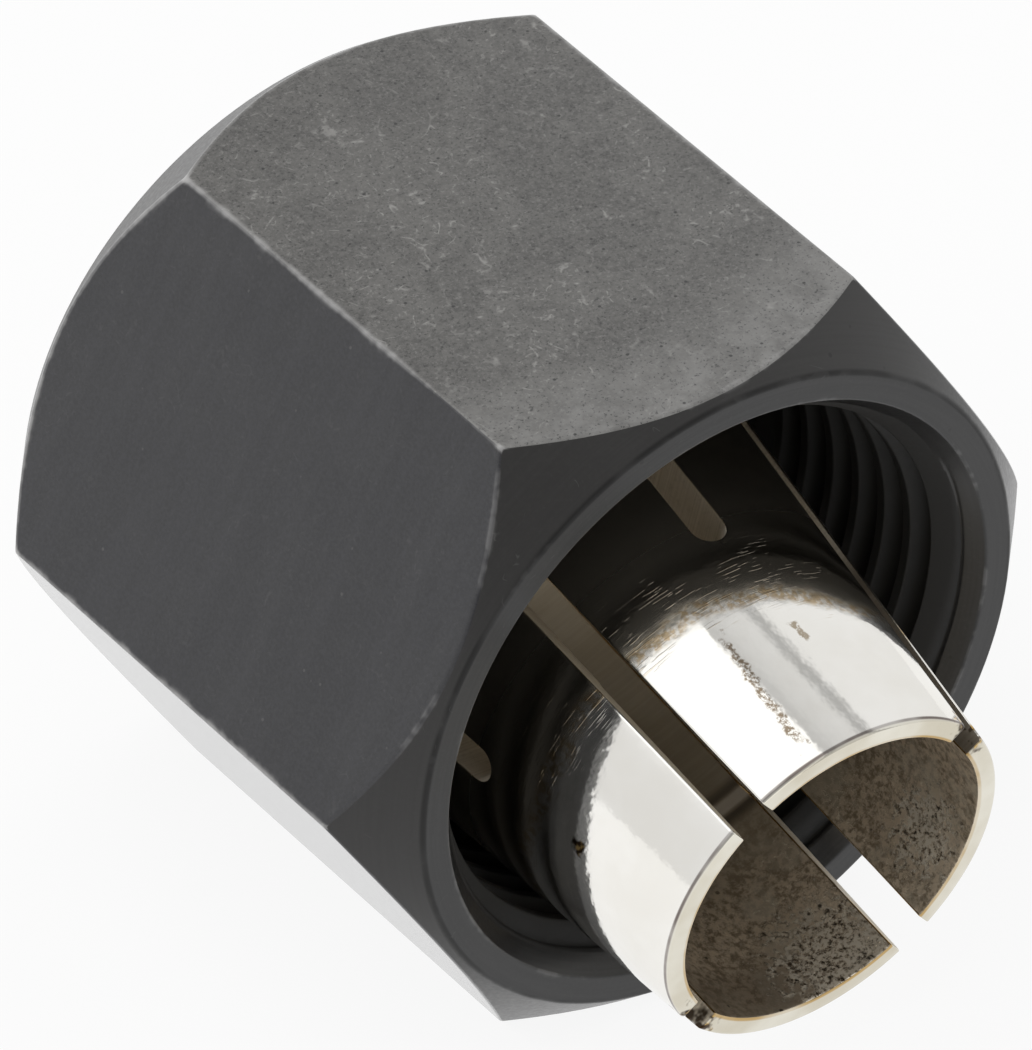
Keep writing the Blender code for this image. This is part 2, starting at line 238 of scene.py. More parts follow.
def finish_mesh(bm, name, materials, place):
    """Welds, turns the faces outwards, and lays the piece in its place.

    The piece's own turned coordinates stay on it as an attribute, for its material."""
    bmesh.ops.remove_doubles(bm, verts=bm.verts, dist=1e-6)
    bmesh.ops.dissolve_degenerate(bm, edges=bm.edges, dist=1e-7)
    bmesh.ops.recalc_face_normals(bm, faces=bm.faces)
    mesh = bpy.data.meshes.new(name)
    bm.to_mesh(mesh)
    bm.free()
    own = mesh.attributes.new("own", "FLOAT_VECTOR", "POINT")
    own.data.foreach_set("vector", [value for v in mesh.vertices for value in v.co])
    mesh.transform(place)
    mesh.shade_smooth()
    for material in materials:
        mesh.materials.append(material)
    item = bpy.data.objects.new(name, mesh)
    bpy.context.scene.collection.objects.link(item)
    return item


def weight_normals(item):
    """Keeps large faces flat-shaded, so that only the small rounds at their edges turn."""
    modifier = item.modifiers.new("weighted", "WEIGHTED_NORMAL")
    modifier.mode = "FACE_AREA"
    modifier.weight = 90
    modifier.keep_sharp = True


def make_nut(materials):
    """The nut: one grid round its outside and back hole, and a helical grid through its thread."""
    bm = bmesh.new()
    wear_layer = bm.verts.layers.float.new("wear")
    scuff_layer = bm.verts.layers.float.new("scuff")
    slots = {"flat": 0, "cone": 1, "ring": 1, "inside": 2}

    def vert(radius, z, angle, wear=0.0):
        made = bm.verts.new((radius * math.cos(angle), radius * math.sin(angle), z))
        made[wear_layer] = wear
        across = abs((angle - math.pi / 2 + math.pi) % TURN - math.pi)
        made[scuff_layer] = 1.0 if across < math.pi / 6 else 0.0
        return made

    angles = column_angles()
    columns, kinds = [], []
    for angle in angles:
        rows = nut_sections(angle)
        kinds = [row[2] for row in rows]
        columns.append([vert(row[0], row[1], angle, row[3]) for row in rows])
    for c, column in enumerate(columns):
        following = columns[(c + 1) % len(columns)]
        for j in range(len(column) - 1):
            face = bm.faces.new((column[j], column[j + 1], following[j + 1], following[j]))
            face.material_index = slots[kinds[j] if kinds[j] == kinds[j + 1] else "cone"]

    per_turn = len(THREAD_SHARES)
    turns = math.ceil((GRID_TOP_Z - GRID_LOW_Z) / THREAD_PITCH) + 2
    first = round((GRID_LOW_Z - THREAD_END_Z) / THREAD_PITCH) - 2
    lattice = []
    for angle in angles:
        rise = (THREAD_END_Z - THREAD_PITCH / 2) + (angle - GROOVE_START_ANGLE) / TURN * THREAD_PITCH
        column = []
        for turn in range(first, first + turns + 2):
            for share in THREAD_SHARES:
                z = min(GRID_TOP_Z, max(GRID_LOW_Z, rise + (turn + share) * THREAD_PITCH))
                radius = inside_radius(z, angle)
                crest = max(0, 1 - abs(abs(share) - GROOVE_EDGE_SHARE) / 0.03)
                if radius >= MINOR_RADIUS + 0.1 * MM:
                    crest = 0
                column.append(vert(radius, z, angle, CREST_WEAR * crest))
        lattice.append(column)
    count = len(lattice[0])
    for c, column in enumerate(lattice):
        last = c == len(lattice) - 1
        following = lattice[0] if last else lattice[c + 1]
        shift = per_turn if last else 0
        for k in range(count - 1 - shift):
            corners = (column[k], column[k + 1], following[k + 1 + shift], following[k + shift])
            if max(v.co.z for v in corners) - min(v.co.z for v in corners) < 1e-7:
                continue
            face = bm.faces.new(corners)
            depth = sum(v.co.z for v in corners) / 4
            face.material_index = 1 if depth > MOUTH_Z - COUNTERSINK_SHOWN else 2
    place = Matrix.Translation((0, 0, AXIS_HEIGHT)) @ Matrix.Rotation(math.pi / 2, 4, "X")
    nut = finish_mesh(bm, "nut_black_oxide", materials, place)
    weight_normals(nut)
    return nut


def chain_normals(rows, outward):
    """Each section point's normal, out of the metal."""
    normals = []
    for i in range(len(rows)):
        along = rows[min(i + 1, len(rows) - 1)] - rows[max(i - 1, 0)]
        normals.append(Vector((along.y, -along.x)).normalized() * outward)
    return normals


def spread(low, high, count):
    """Evenly spaced values from low to high, both included."""
    return [low + (high - low) * i / (count - 1) for i in range(count)]


def collet_rows():
    """The collet's section as rows from head to tip: outer and inner points, and the slits beside them."""
    taper = math.tan(TAPER_ANGLE)

    def on_taper(z):
        return Vector((TAPER_RADIUS - (z - GROOVE_TOP) * taper, z))

    def on_bore(z):
        return Vector((BORE_RADIUS, z))

    def stop_rows(centre, sense, start, length):
        """Rows beside a slit's round end: one side follows the round, and the other stays straight."""
        made = []
        for number in range(ROUND_STEPS + 1):
            share = number / ROUND_STEPS
            turn = math.pi / 2 * (share if sense < 0 else 1 - share)
            curve = (SLIT_HALF * math.sin(turn), math.sin(turn), sense * math.cos(turn))
            lift = -SLIT_EDGE * curve[2]
            z = centre + sense * SLIT_HALF * math.cos(turn) - lift
            ends = [(z, curve, lift), (start + length * share, straight, 0)]
            if sense > 0:
                ends.reverse()
            made.append({"outer": [on_taper(end[0]) for end in ends],
                         "inner": [on_bore(end[0]) for end in ends],
                         "left": ends[0][1], "right": ends[1][1], "lift": (ends[0][2], ends[1][2])})
        return made

    head_mid = Vector(((NOSE_RADIUS + BORE_RADIUS + NOSE_BEVEL) / 2, HEAD_END_Z))
    cut = HEAD_CUT
    nose = Vector((NOSE_RADIUS, HEAD_END_Z))
    rim_low = Vector((HEAD_RADIUS, -GROOVE_TOP - HEAD_RIM))
    rim_high = Vector((HEAD_RADIUS, -GROOVE_TOP))
    groove_low = Vector((GROOVE_RADIUS, -GROOVE_TOP))
    groove_high = Vector((GROOVE_RADIUS, GROOVE_TOP))
    taper_end = Vector((TAPER_RADIUS, GROOVE_TOP))
    first = on_taper(TAIL_SLIT_STOP)
    bore_edge = Vector((BORE_RADIUS + NOSE_BEVEL, HEAD_END_Z))
    bore_start = Vector((BORE_RADIUS, HEAD_END_Z + NOSE_BEVEL))
    outer = [head_mid]
    outer += bend(head_mid, nose, rim_low, cut)
    outer += [nose.lerp(rim_low, share) for share in (0.1, 0.3, 0.5, 0.7, 0.9)]
    outer += bend(nose, rim_low, rim_high, cut)
    outer += bend(rim_low, rim_high, groove_low, cut)
    outer += bend(rim_high, groove_low, groove_high, cut)
    outer += [groove_low.lerp(groove_high, share) for share in (0.3, 0.5, 0.7)]
    outer += bend(groove_low, groove_high, taper_end, cut)
    outer += bend(groove_high, taper_end, first, cut)
    inner = [head_mid]
    inner += bend(head_mid, bore_edge, bore_start, cut)
    inner += bend(bore_edge, bore_start, on_bore(0), cut)
    for low, high, count in ((-2.2, -1.9, 2), (-1.8, -1.4, 4), (-1.3, -1.12, 5), (-1.08, -0.9, 5),
                             (-0.4, 0.4, 3), (0.85, 1.05, 5), (1.08, 1.245, 4)):
        inner += [on_bore(z * MM) for z in spread(low, high, count)]
    for z in (1.5, 2.0, 2.6, 3.1):
        outer.append(on_taper(z * MM))
        inner.append(on_bore(z * MM))
    straight = (SLIT_HALF, 1.0, 0.0)
    rows = [{"outer": (o, o), "inner": (i, i), "left": None, "right": straight}
            for o, i in zip(outer, inner)]

    rows += stop_rows(TAIL_SLIT_STOP + SLIT_HALF, -1, *TAIL_STOP_ROWS)
    for z in spread(5.8, 15.2, 12):
        rows.append({"outer": (on_taper(z * MM),) * 2, "inner": (on_bore(z * MM),) * 2,
                     "left": straight, "right": straight})
    rows += stop_rows(HEAD_SLIT_STOP - SLIT_HALF, 1, *HEAD_STOP_ROWS)

    step_z = TAIL_LENGTH - TAIL_BORE_LENGTH
    widening = TAIL_BORE_RADIUS - BORE_RADIUS
    tip_mid = Vector(((TIP_RADIUS + TAIL_BORE_RADIUS) / 2, TAIL_LENGTH))
    step_low = Vector((BORE_RADIUS, step_z - widening))
    step_high = Vector((TAIL_BORE_RADIUS, step_z))
    tip_in = Vector((TAIL_BORE_RADIUS, TAIL_LENGTH))
    inner = bend(on_bore(17 * MM), step_low, step_high, cut, 2) + bend(step_low, step_high, tip_in, cut, 2)
    inner += [Vector((TAIL_BORE_RADIUS, z * MM)) for z in spread(18.8, 27.1, 14)]
    inner += bend(step_high, tip_in, tip_mid, TIP_BORE_CUT, 5) + [tip_mid]
    outer = [on_taper(z * MM) for z in spread(17.9, 27.0, 20)]
    outer += bend(on_taper(25 * MM), on_taper(TAIL_LENGTH), tip_mid, TIP_CUT, 5) + [tip_mid]
    for o, i in zip(outer, inner):
        rows.append({"outer": (o, o), "inner": (i, i), "left": straight, "right": None})
    return rows


def make_collet(materials):
    """The split collet, built as eight cells between the middles of neighbouring slits."""
    rows = collet_rows()
    bm = bmesh.new()
    edge_layer = bm.verts.layers.float.new("wear")
    shares = [0, 0.012, 0.04, 0.09] + [0.16 + 0.68 * i / 14 for i in range(15)] + [0.91, 0.96, 0.988, 1]
    cell = math.pi / SLITS_PER_END
    sides = {"outer": 1, "inner": -1}
    normals = {
        side: [chain_normals([row[side][end] for row in rows], sign) for end in (0, 1)]
        for side, sign in sides.items()
    }
    plain = {"outer": Vector((math.cos(TAPER_ANGLE), math.sin(TAPER_ANGLE))), "inner": Vector((-1, 0))}
    for j, row in enumerate(rows):
        if "lift" in row:
            for side, normal in plain.items():
                normals[side][0][j] = normals[side][1][j] = normal

    def vert(origin, sense, angle, radius, z, wear):
        turned = origin + sense * angle
        made = bm.verts.new((radius * math.cos(turned), radius * math.sin(turned), z))
        made[edge_layer] = wear
        return made

    def edge_points(row, j, side, end):
        """At a slit's edge: the surface point, the middle of its round, and the top of the slit's wall."""
        boundary = row["left" if end == 0 else "right"]
        point, normal = row[side][end], normals[side][end][j]
        if boundary is None:
            return [(0.0, point, 0.0)]
        x, nx = boundary[:2]
        lift = row.get("lift", (0, 0))[end]
        made = []
        for part, depth in ((1.0, 0.0), (0.293, 0.293), (0.0, 1.0)):
            at = point - normal * SLIT_EDGE * depth
            at = Vector((at.x, at.y + lift * (1 - part)))
            across = x + SLIT_EDGE * nx * part
            made.append((math.asin(across / at.x), at, 1.0))
        return made

    for number in range(SLITS_PER_END):
        origin = FIRST_SLIT_ANGLE + number * 2 * cell
        for sense in (1, -1):
            wall = {}
            for side in sides:
                grid, strips = [], {0: [], 1: []}
                for j, row in enumerate(rows):
                    left = edge_points(row, j, side, 0)
                    right = edge_points(row, j, side, 1)
                    line = []
                    for share in shares:
                        at = left[0][1].lerp(right[0][1], share)
                        angle = left[0][0] * (1 - share) + (cell - right[0][0]) * share
                        span = cell * at.x
                        near = min(share if row["left"] else 1, 1 - share if row["right"] else 1) * span
                        line.append(vert(origin, sense, angle, at.x, at.y, math.exp(-near / WEAR_REACH)))
                    grid.append(line)
                    for end, points in ((0, left), (1, right)):
                        if len(points) == 1:
                            strips[end].append(None)
                            continue
                        strip = [line[0] if end == 0 else line[-1]]
                        for across, at, wear in points[1:]:
                            angle = across if end == 0 else cell - across
                            strip.append(vert(origin, sense, angle, at.x, at.y, wear))
                        strips[end].append(strip)
                for j in range(len(rows) - 1):
                    for i in range(len(shares) - 1):
                        face = bm.faces.new((grid[j][i], grid[j][i + 1], grid[j + 1][i + 1], grid[j + 1][i]))
                        face.material_index = 0 if side == "outer" or j >= len(rows) - TIP_ROWS else 1
                    for end in (0, 1):
                        a, b = strips[end][j], strips[end][j + 1]
                        if a and b:
                            for i in range(2):
                                bm.faces.new((a[i], a[i + 1], b[i + 1], b[i]))
                wall[side] = strips
            for end in (0, 1):
                for j in range(len(rows) - 1):
                    a, b = wall["outer"][end][j], wall["outer"][end][j + 1]
                    c, d = wall["inner"][end][j], wall["inner"][end][j + 1]
                    if a and b:
                        face = bm.faces.new((a[2], b[2], d[2], c[2]))
                        face.material_index = 2
    collet = finish_mesh(bm, "collet_nickel_plated", materials, collet_place())
    weight_normals(collet)
    return collet


def collet_place():
    """Where the collet and its ring lie: drooping in the nut about the ring's middle."""
    hinge = Vector((math.cos(LEAN_ANGLE), 0, -math.sin(LEAN_ANGLE)))
    droop = Matrix.Rotation(DROOP_ANGLE, 4, hinge)
    lie_down = Matrix.Rotation(math.pi / 2, 4, "X")
    return Matrix.Translation((0, -PIVOT_Z, AXIS_HEIGHT)) @ droop @ lie_down


def make_ring(material):
    """The retaining ring's wire, with rounded cut ends."""
    bm = bmesh.new()
    around, steps = 20, 120
    start = math.pi / 2 + RING_GAP_ANGLE / 2
    arc = TURN - RING_GAP_ANGLE
    rings = []
    stations = [(0, 0.0), (0, 0.6), (0, 0.9)] + [(i / steps, 1.0) for i in range(steps + 1)]
    stations += [(1, 0.9), (1, 0.6), (1, 0.0)]
    reach = {0.0: 0.12, 0.6: 0.1, 0.9: 0.04, 1.0: 0.0}
    unit = WIRE_RADIUS / RING_RADIUS
    for share, size in stations:
        beyond = reach[size] * unit * (1 if share < 0.5 else -1)
        angle = start + arc * share - beyond + reach[0.0] * unit * (1 - 2 * share)
        line = []
        for number in range(around):
            turn = TURN * number / around
            radius = RING_RADIUS + WIRE_RADIUS * size * math.cos(turn)
            line.append(bm.verts.new((radius * math.cos(angle), radius * math.sin(angle),
                                      WIRE_RADIUS * size * math.sin(turn))))
        rings.append(line)
    for a, b in zip(rings, rings[1:]):
        for i in range(around):
            bm.faces.new((a[i], a[(i + 1) % around], b[(i + 1) % around], b[i]))
    return finish_mesh(bm, "ring_spring_wire", [material], collet_place())


# Materials

BARE_STEEL = (0.40, 0.395, 0.39)


def on_collet(angle, z):
    """A point on the collet's taper, in its own turned coordinates."""
    angle = math.radians(angle)
    radius = TAPER_RADIUS - (z - GROOVE_TOP) * math.tan(TAPER_ANGLE)
    return radius * math.cos(angle), radius * math.sin(angle), z


def in_bore(angle, z):
    """A point on the wider bore near the tip."""
    angle = math.radians(angle)
    return TAIL_BORE_RADIUS * math.cos(angle), TAIL_BORE_RADIUS * math.sin(angle), z


# Marks on the collet, and the ways across it that its painted shade and its tipped finger follow
NICK = on_collet(169.8, 22.1 * MM)
DENT = (on_collet(81.4, 21.6 * MM), on_collet(79.9, 22.6 * MM))
BURRS = (on_collet(37.4, 27.2 * MM), on_collet(217.4, 27.2 * MM))
SCUFF_LINE = (on_collet(100.0, 21.0 * MM), on_collet(102.5, 26.6 * MM))
STEP_Z = TAIL_LENGTH - TAIL_BORE_LENGTH - 0.2 * MM
PITTED = (in_bore(-74.0, 26.2 * MM), in_bore(-24.0, 25.4 * MM))
FIRST_SLIT_WAY = (math.cos(FIRST_SLIT_ANGLE), math.sin(FIRST_SLIT_ANGLE), 0.0)
BORE_SHADE_WAY = (math.cos(math.radians(-115.0)), math.sin(math.radians(-115.0)), 0.0)
LEAN_WAY = (-math.sin(FIRST_SLIT_ANGLE), math.cos(FIRST_SLIT_ANGLE), 0.0)


class Nodes:
    """A short way to write a material's node tree."""

    def __init__(self, name):
        self.material = bpy.data.materials.new(name)
        self.material.use_nodes = True
        self.tree = self.material.node_tree
        self.shader = self.tree.nodes["Principled BSDF"]

    def add(self, kind, inputs=None, **settings):
        node = self.tree.nodes.new(kind)
        for key, value in settings.items():
            setattr(node, key, value)
        for key, value in (inputs or {}).items():
            self.feed(node, key, value)
        return node

    def feed(self, node, key, value):
        """Links a node's output to a socket, or sets the socket to a constant."""
        if isinstance(value, bpy.types.NodeSocket):
            self.tree.links.new(value, node.inputs[key])
        else:
            node.inputs[key].default_value = value

    def math(self, operation, a, b=0.0):
        return self.add("ShaderNodeMath", {0: a, 1: b}, operation=operation).outputs[0]

    def times(self, a, b):
        return self.math("MULTIPLY", a, b)

    def most(self, a, b):
        return self.math("MAXIMUM", a, b)

    def dot(self, a, b):
        """How far one vector reaches along another."""
        return self.add("ShaderNodeVectorMath", {0: a, 1: b}, operation="DOT_PRODUCT").outputs["Value"]

    def remap(self, value, low, high, to_low=0.0, to_high=1.0):
        """A soft step from one level to another, while the value goes from low to high."""
        names = {"Value": value, "From Min": low, "From Max": high, "To Min": to_low, "To Max": to_high}
        return self.add("ShaderNodeMapRange", names, interpolation_type="SMOOTHSTEP").outputs[0]

    def mix(self, share, a, b):
        node = self.add("ShaderNodeMix", {"Factor": share}, data_type="RGBA")
        for key, value in ((6, a), (7, b)):
            self.feed(node, key, value if isinstance(value, bpy.types.NodeSocket) else (*value, 1.0))
        return node.outputs[2]

    def mix_value(self, share, a, b):
        """a where the share is 0, and b where it is 1."""
        return self.math("ADD", a, self.times(share, self.math("SUBTRACT", b, a)))

    def noise(self, vector, scale, detail=2.0, roughness=0.5, distortion=0.0):
        names = {"Vector": vector, "Scale": scale, "Detail": detail, "Roughness": roughness,
                 "Distortion": distortion}
        return self.add("ShaderNodeTexNoise", names).outputs[0]

    def spots(self, vector, scale, size):
        """Small round marks, one in each cell of a grid, and a random number from 0 to 1 for each cell."""
        node = self.add("ShaderNodeTexVoronoi", {"Vector": vector, "Scale": scale})
        number = self.add("ShaderNodeSeparateColor", {"Color": node.outputs["Color"]}).outputs[0]
        return self.remap(node.outputs["Distance"], size, size * 0.5), number

    def specks(self, vector, scale, size, chance):
        """Small round marks, one in some of the cells of a grid."""
        spots, number = self.spots(vector, scale, size)
        return self.times(spots, self.math("LESS_THAN", number, chance))

    def curls(self, vector, scale, width, share, distortion=1.2):
        """Thin curly scratches: where a soft noise passes its middle, kept in patches only."""
        field = self.noise(vector, scale, 1.0, 0.4, distortion)
        line = self.remap(self.math("ABSOLUTE", self.math("SUBTRACT", field, 0.5)), width, 0.0)
        patch = self.remap(self.noise(vector, scale * 1.9, 1.0), 1 - share, 1 - share + 0.06)
        return self.times(line, patch)

    def place(self):
        """Where a point is in the turned piece's own coordinates, with Z along its axis."""
        return self.add("ShaderNodeAttribute", attribute_name="own").outputs["Vector"]

    def along(self):
        """How far a point is along its piece's axis, towards the mouth."""
        return self.add("ShaderNodeSeparateXYZ", {0: self.place()}).outputs[2]

    def scratches(self, along, around, edge):
        """Short marks that run round the piece."""
        field = self.noise(self.turned(along, around), 1.0, 1.0, 0.5)
        return self.remap(field, edge, edge + 0.06)

    def spot(self, centre, size):
        """1 about a point of the piece and 0 beyond a size from it, with a ragged edge."""
        gap = self.add("ShaderNodeVectorMath", {0: self.place(), 1: centre}, operation="DISTANCE")
        ragged = self.math("SUBTRACT", self.noise(self.place(), 3200.0, 1.0), 0.5)
        ragged = self.times(ragged, 1.6 * size)
        return self.remap(self.math("ADD", gap.outputs["Value"], ragged), size, size * 0.5)

    def stroke(self, ends, width):
        """1 along a line between two points of the piece and 0 beyond a width from it, with a ragged edge."""
        start, end = (Vector(point) for point in ends)
        way = (end - start).normalized()
        middle = (start + end) / 2
        off = self.add("ShaderNodeVectorMath", {0: self.place(), 1: middle}, operation="SUBTRACT").outputs[0]
        aside = self.add("ShaderNodeVectorMath", {0: off, 1: way}, operation="CROSS_PRODUCT").outputs[0]
        gap = self.add("ShaderNodeVectorMath", {0: aside}, operation="LENGTH").outputs["Value"]
        ragged = self.math("SUBTRACT", self.noise(self.place(), 2600.0, 1.0), 0.5)
        gap = self.math("ADD", gap, self.times(ragged, 3.0 * width))
        run = self.dot(off, way)
        half = (end - start).length / 2
        run = self.math("ADD", self.math("ABSOLUTE", run), self.times(ragged, half))
        inside = self.remap(run, half, half * 0.7)
        return self.times(self.remap(gap, width, width * 0.3), inside)

    def radius(self):
        """How far a point is from its piece's axis."""
        x, y = self.add("ShaderNodeSeparateXYZ", {0: self.place()}).outputs[:2]
        return self.math("SQRT", self.math("ADD", self.times(x, x), self.times(y, y)))

    def stretched(self, across, along):
        """Coordinates whose noise makes streaks that run across the piece's axis."""
        x, y, z = self.add("ShaderNodeSeparateXYZ", {0: self.place()}).outputs[:3]
        names = {0: self.times(x, across), 1: self.times(y, across), 2: self.times(z, along)}
        return self.add("ShaderNodeCombineXYZ", names).outputs[0]

    def attribute(self, name):
        """A value that the mesh carries at its points, such as its wear."""
        return self.add("ShaderNodeAttribute", attribute_name=name).outputs["Fac"]

    def turned(self, along=1.0, around=1.0):
        """Coordinates that run round a turned surface, so that noise in them makes turning marks."""
        x, y, z = self.add("ShaderNodeSeparateXYZ", {0: self.place()}).outputs[:3]
        angle = self.math("ARCTAN2", y, x)
        names = {0: self.times(self.radius(), along), 1: self.times(z, along), 2: self.times(angle, around)}
        return self.add("ShaderNodeCombineXYZ", names).outputs[0]

    def bump(self, *layers):
        """Bump from (height, depth in metres) layers, one upon the other."""
        normal = None
        for height, depth in layers:
            names = {"Height": height, "Distance": depth, "Strength": 1.0}
            if normal:
                names["Normal"] = normal
            normal = self.add("ShaderNodeBump", names).outputs[0]
        self.feed(self.shader, "Normal", normal)

    def surface(self, **values):
        """Sets the shader's sockets: a node's output is linked, and a constant sits on the socket."""
        for key, value in values.items():
            name = key.replace("_", " ").title().replace("Ior", "IOR")
            if not isinstance(value, (bpy.types.NodeSocket, float)):
                value = (*value, 1.0)
            self.feed(self.shader, name, value)
        return self.material


def worn_edge(n):
    """How bare the steel is: along the edges here and there, and at the hexagon's corners."""
    patches = n.remap(n.noise(n.place(), 900.0, 2.0, 0.7), 0.38, 0.64, -0.20, 0.13)
    stretches = n.remap(n.noise(n.place(), 160.0, 1.0, 0.5), 0.36, 0.6, -0.28, 0.08)
    wear = n.math("ADD", n.attribute("wear"), n.math("ADD", patches, stretches))
    return n.remap(wear, 0.28, 1.6)


def oxide_flat():
    """The hexagon's flats: satin black oxide, scuffed with curly marks, most of all on the upper one."""
    n = Nodes("oxide_flat")
    at = n.place()
    scuff = n.attribute("scuff")
    fine = n.noise(at, 6500.0, 2.0, 0.75)
    mottle = n.noise(at, 2100.0, 3.0, 0.7)
    cloud = n.noise(at, 260.0, 3.0, 0.65)
    streaks = n.noise(n.stretched(90.0, 1300.0), 1.0, 2.0, 0.6)
    base = n.mix(n.remap(fine, 0.3, 0.72), (0.010, 0.010, 0.0125), (0.020, 0.020, 0.0235))
    base = n.mix(n.times(n.remap(streaks, 0.35, 0.7), 0.14), base, (0.045, 0.045, 0.052))
    lighter = n.mix(n.remap(mottle, 0.36, 0.64), (0.070, 0.068, 0.065), (0.106, 0.103, 0.098))
    lighter = n.mix(n.times(n.remap(fine, 0.42, 0.64), 0.5), lighter, (0.150, 0.146, 0.138))
    base = n.mix(scuff, base, lighter)
    slope = FRONT_CHAMFER_LENGTH / (CORNER_RADIUS - FACE_RADIUS)
    to_arc = n.math("ADD", n.along(), n.times(n.radius(), slope))
    arc = MOUTH_Z + FACE_RADIUS * slope
    rubbed = n.times(n.remap(to_arc, arc - 5.5 * MM, arc - 0.6 * MM), scuff)
    rubbed = n.times(rubbed, n.remap(n.noise(at, 800.0, 3.0, 0.6), 0.34, 0.62, 0.4, 0.95))
    base = n.mix(rubbed, base, (0.215, 0.212, 0.204))
    scuffed = n.remap(cloud, 0.40, 0.66)
    clouded = n.times(scuffed, n.remap(scuff, 0.0, 1.0, 0.02, 0.34))
    base = n.mix(clouded, base, (0.18, 0.176, 0.166))
    dust = n.noise(at, 8500.0, 2.0, 0.6)
    dark_dust = n.times(n.remap(dust, 0.42, 0.30), scuff)
    base = n.mix(n.times(dark_dust, 0.72), base, (0.020, 0.020, 0.020))
    pale_dust = n.times(n.remap(dust, 0.60, 0.72), scuff)
    base = n.mix(n.times(pale_dust, 0.5), base, (0.25, 0.246, 0.236))
    tiny = n.times(n.curls(at, 1700.0, 0.042, 0.50), 0.75)
    curls = n.most(n.curls(at, 640.0, 0.026, 0.50, 0.8), tiny)
    curls = n.times(curls, n.remap(n.noise(at, 3800.0, 2.0, 0.6), 0.44, 0.60, 0.1, 1.0))
    curls = n.times(curls, n.remap(scuffed, 0.0, 1.0, 0.4, 1.0))
    curls = n.times(curls, n.remap(scuff, 0.0, 1.0, 0.05, 0.72))
    base = n.mix(curls, base, (0.34, 0.333, 0.318))
    spots, number = n.spots(at, 2300.0, 0.20)
    pale = n.times(spots, n.math("GREATER_THAN", number, 0.95))
    base = n.mix(n.times(pale, n.remap(scuff, 0.0, 1.0, 0.16, 0.5)), base, (0.26, 0.255, 0.24))
    dark = n.times(spots, n.math("LESS_THAN", number, 0.15))
    base = n.mix(n.times(dark, n.remap(scuff, 0.0, 1.0, 0.25, 0.85)), base, (0.012, 0.012, 0.012))
    base = n.mix(worn_edge(n), base, BARE_STEEL)
    rough = n.remap(mottle, 0.3, 0.7, 0.32, 0.46)
    n.bump((n.times(mottle, scuff), 0.005 * MM))
    return n.surface(base_color=base, roughness=rough, specular_ior_level=0.15,
                     coat_weight=1.0, coat_roughness=0.12)


def oxide_turned():
    """Turned faces of the nut: the cones, the mouth's ring and the countersink, with fine turning marks, and
    a painted dark reflection along the ring's outer edge.
    """
    n = Nodes("oxide_turned")
    at = n.place()
    marks = n.noise(n.turned(6000.0, 2.0), 1.0, 2.0, 0.6)
    grain = n.noise(at, 5200.0, 2.0, 0.6)
    base = n.mix(n.remap(marks, 0.3, 0.7), (0.013, 0.013, 0.0135), (0.020, 0.0198, 0.0205))
    base = n.mix(n.times(n.remap(grain, 0.45, 0.8), 0.25), base, (0.05, 0.049, 0.048))
    outer = n.remap(n.radius(), FACE_RADIUS - 0.05 * MM, FACE_RADIUS + 0.05 * MM)
    base = n.mix(n.times(outer, 0.5), base, (0.029, 0.027, 0.025))
    # Painted dark reflection: a thin dark line on the edge between the mouth's ring and the chamfer cone,
    # where that round reflects dark; the coat is thinner along it too.
    beside = n.math("ABSOLUTE", n.math("SUBTRACT", n.radius(), FACE_RADIUS))
    broken = n.remap(n.noise(at, 380.0), 0.32, 0.55, 0.3, 1.0)
    painted_dark_edge = n.times(n.remap(beside, 0.17 * MM, 0.05 * MM), broken)
    base = n.mix(n.times(painted_dark_edge, 0.85), base, (0.003, 0.0027, 0.0024))
    nicks = n.times(n.curls(at, 700.0, 0.012, 0.34), 0.22)
    base = n.mix(nicks, base, (0.15, 0.148, 0.145))
    dark = n.times(n.specks(at, 1300.0, 0.16, 0.07), 0.7)
    base = n.mix(dark, base, (0.003, 0.003, 0.003))
    base = n.mix(worn_edge(n), base, BARE_STEEL)
    rough = n.remap(grain, 0.2, 0.8, 0.34, 0.46)
    n.bump((marks, 0.0014 * MM))
    coat = n.remap(outer, 0.0, 1.0, 0.40, 0.36)
    coat = n.times(coat, n.remap(painted_dark_edge, 0.0, 1.0, 1.0, 0.35))
    return n.surface(base_color=base, roughness=rough, specular_ior_level=0.26,
                     coat_weight=coat, coat_roughness=0.2)


def oxide_inside():
    """The thread and the bore behind it: darker, with few marks."""
    n = Nodes("oxide_inside")
    at = n.place()
    grain = n.noise(at, 4200.0, 3.0, 0.6)
    base = n.mix(n.remap(grain, 0.3, 0.8), (0.006, 0.006, 0.006), (0.014, 0.0135, 0.013))
    nicks = n.times(n.curls(at, 1100.0, 0.010, 0.30), 0.3)
    base = n.mix(nicks, base, (0.08, 0.08, 0.078))
    n.bump((grain, 0.004 * MM))
    return n.surface(base_color=base, roughness=n.remap(grain, 0.2, 0.8, 0.58, 0.72))


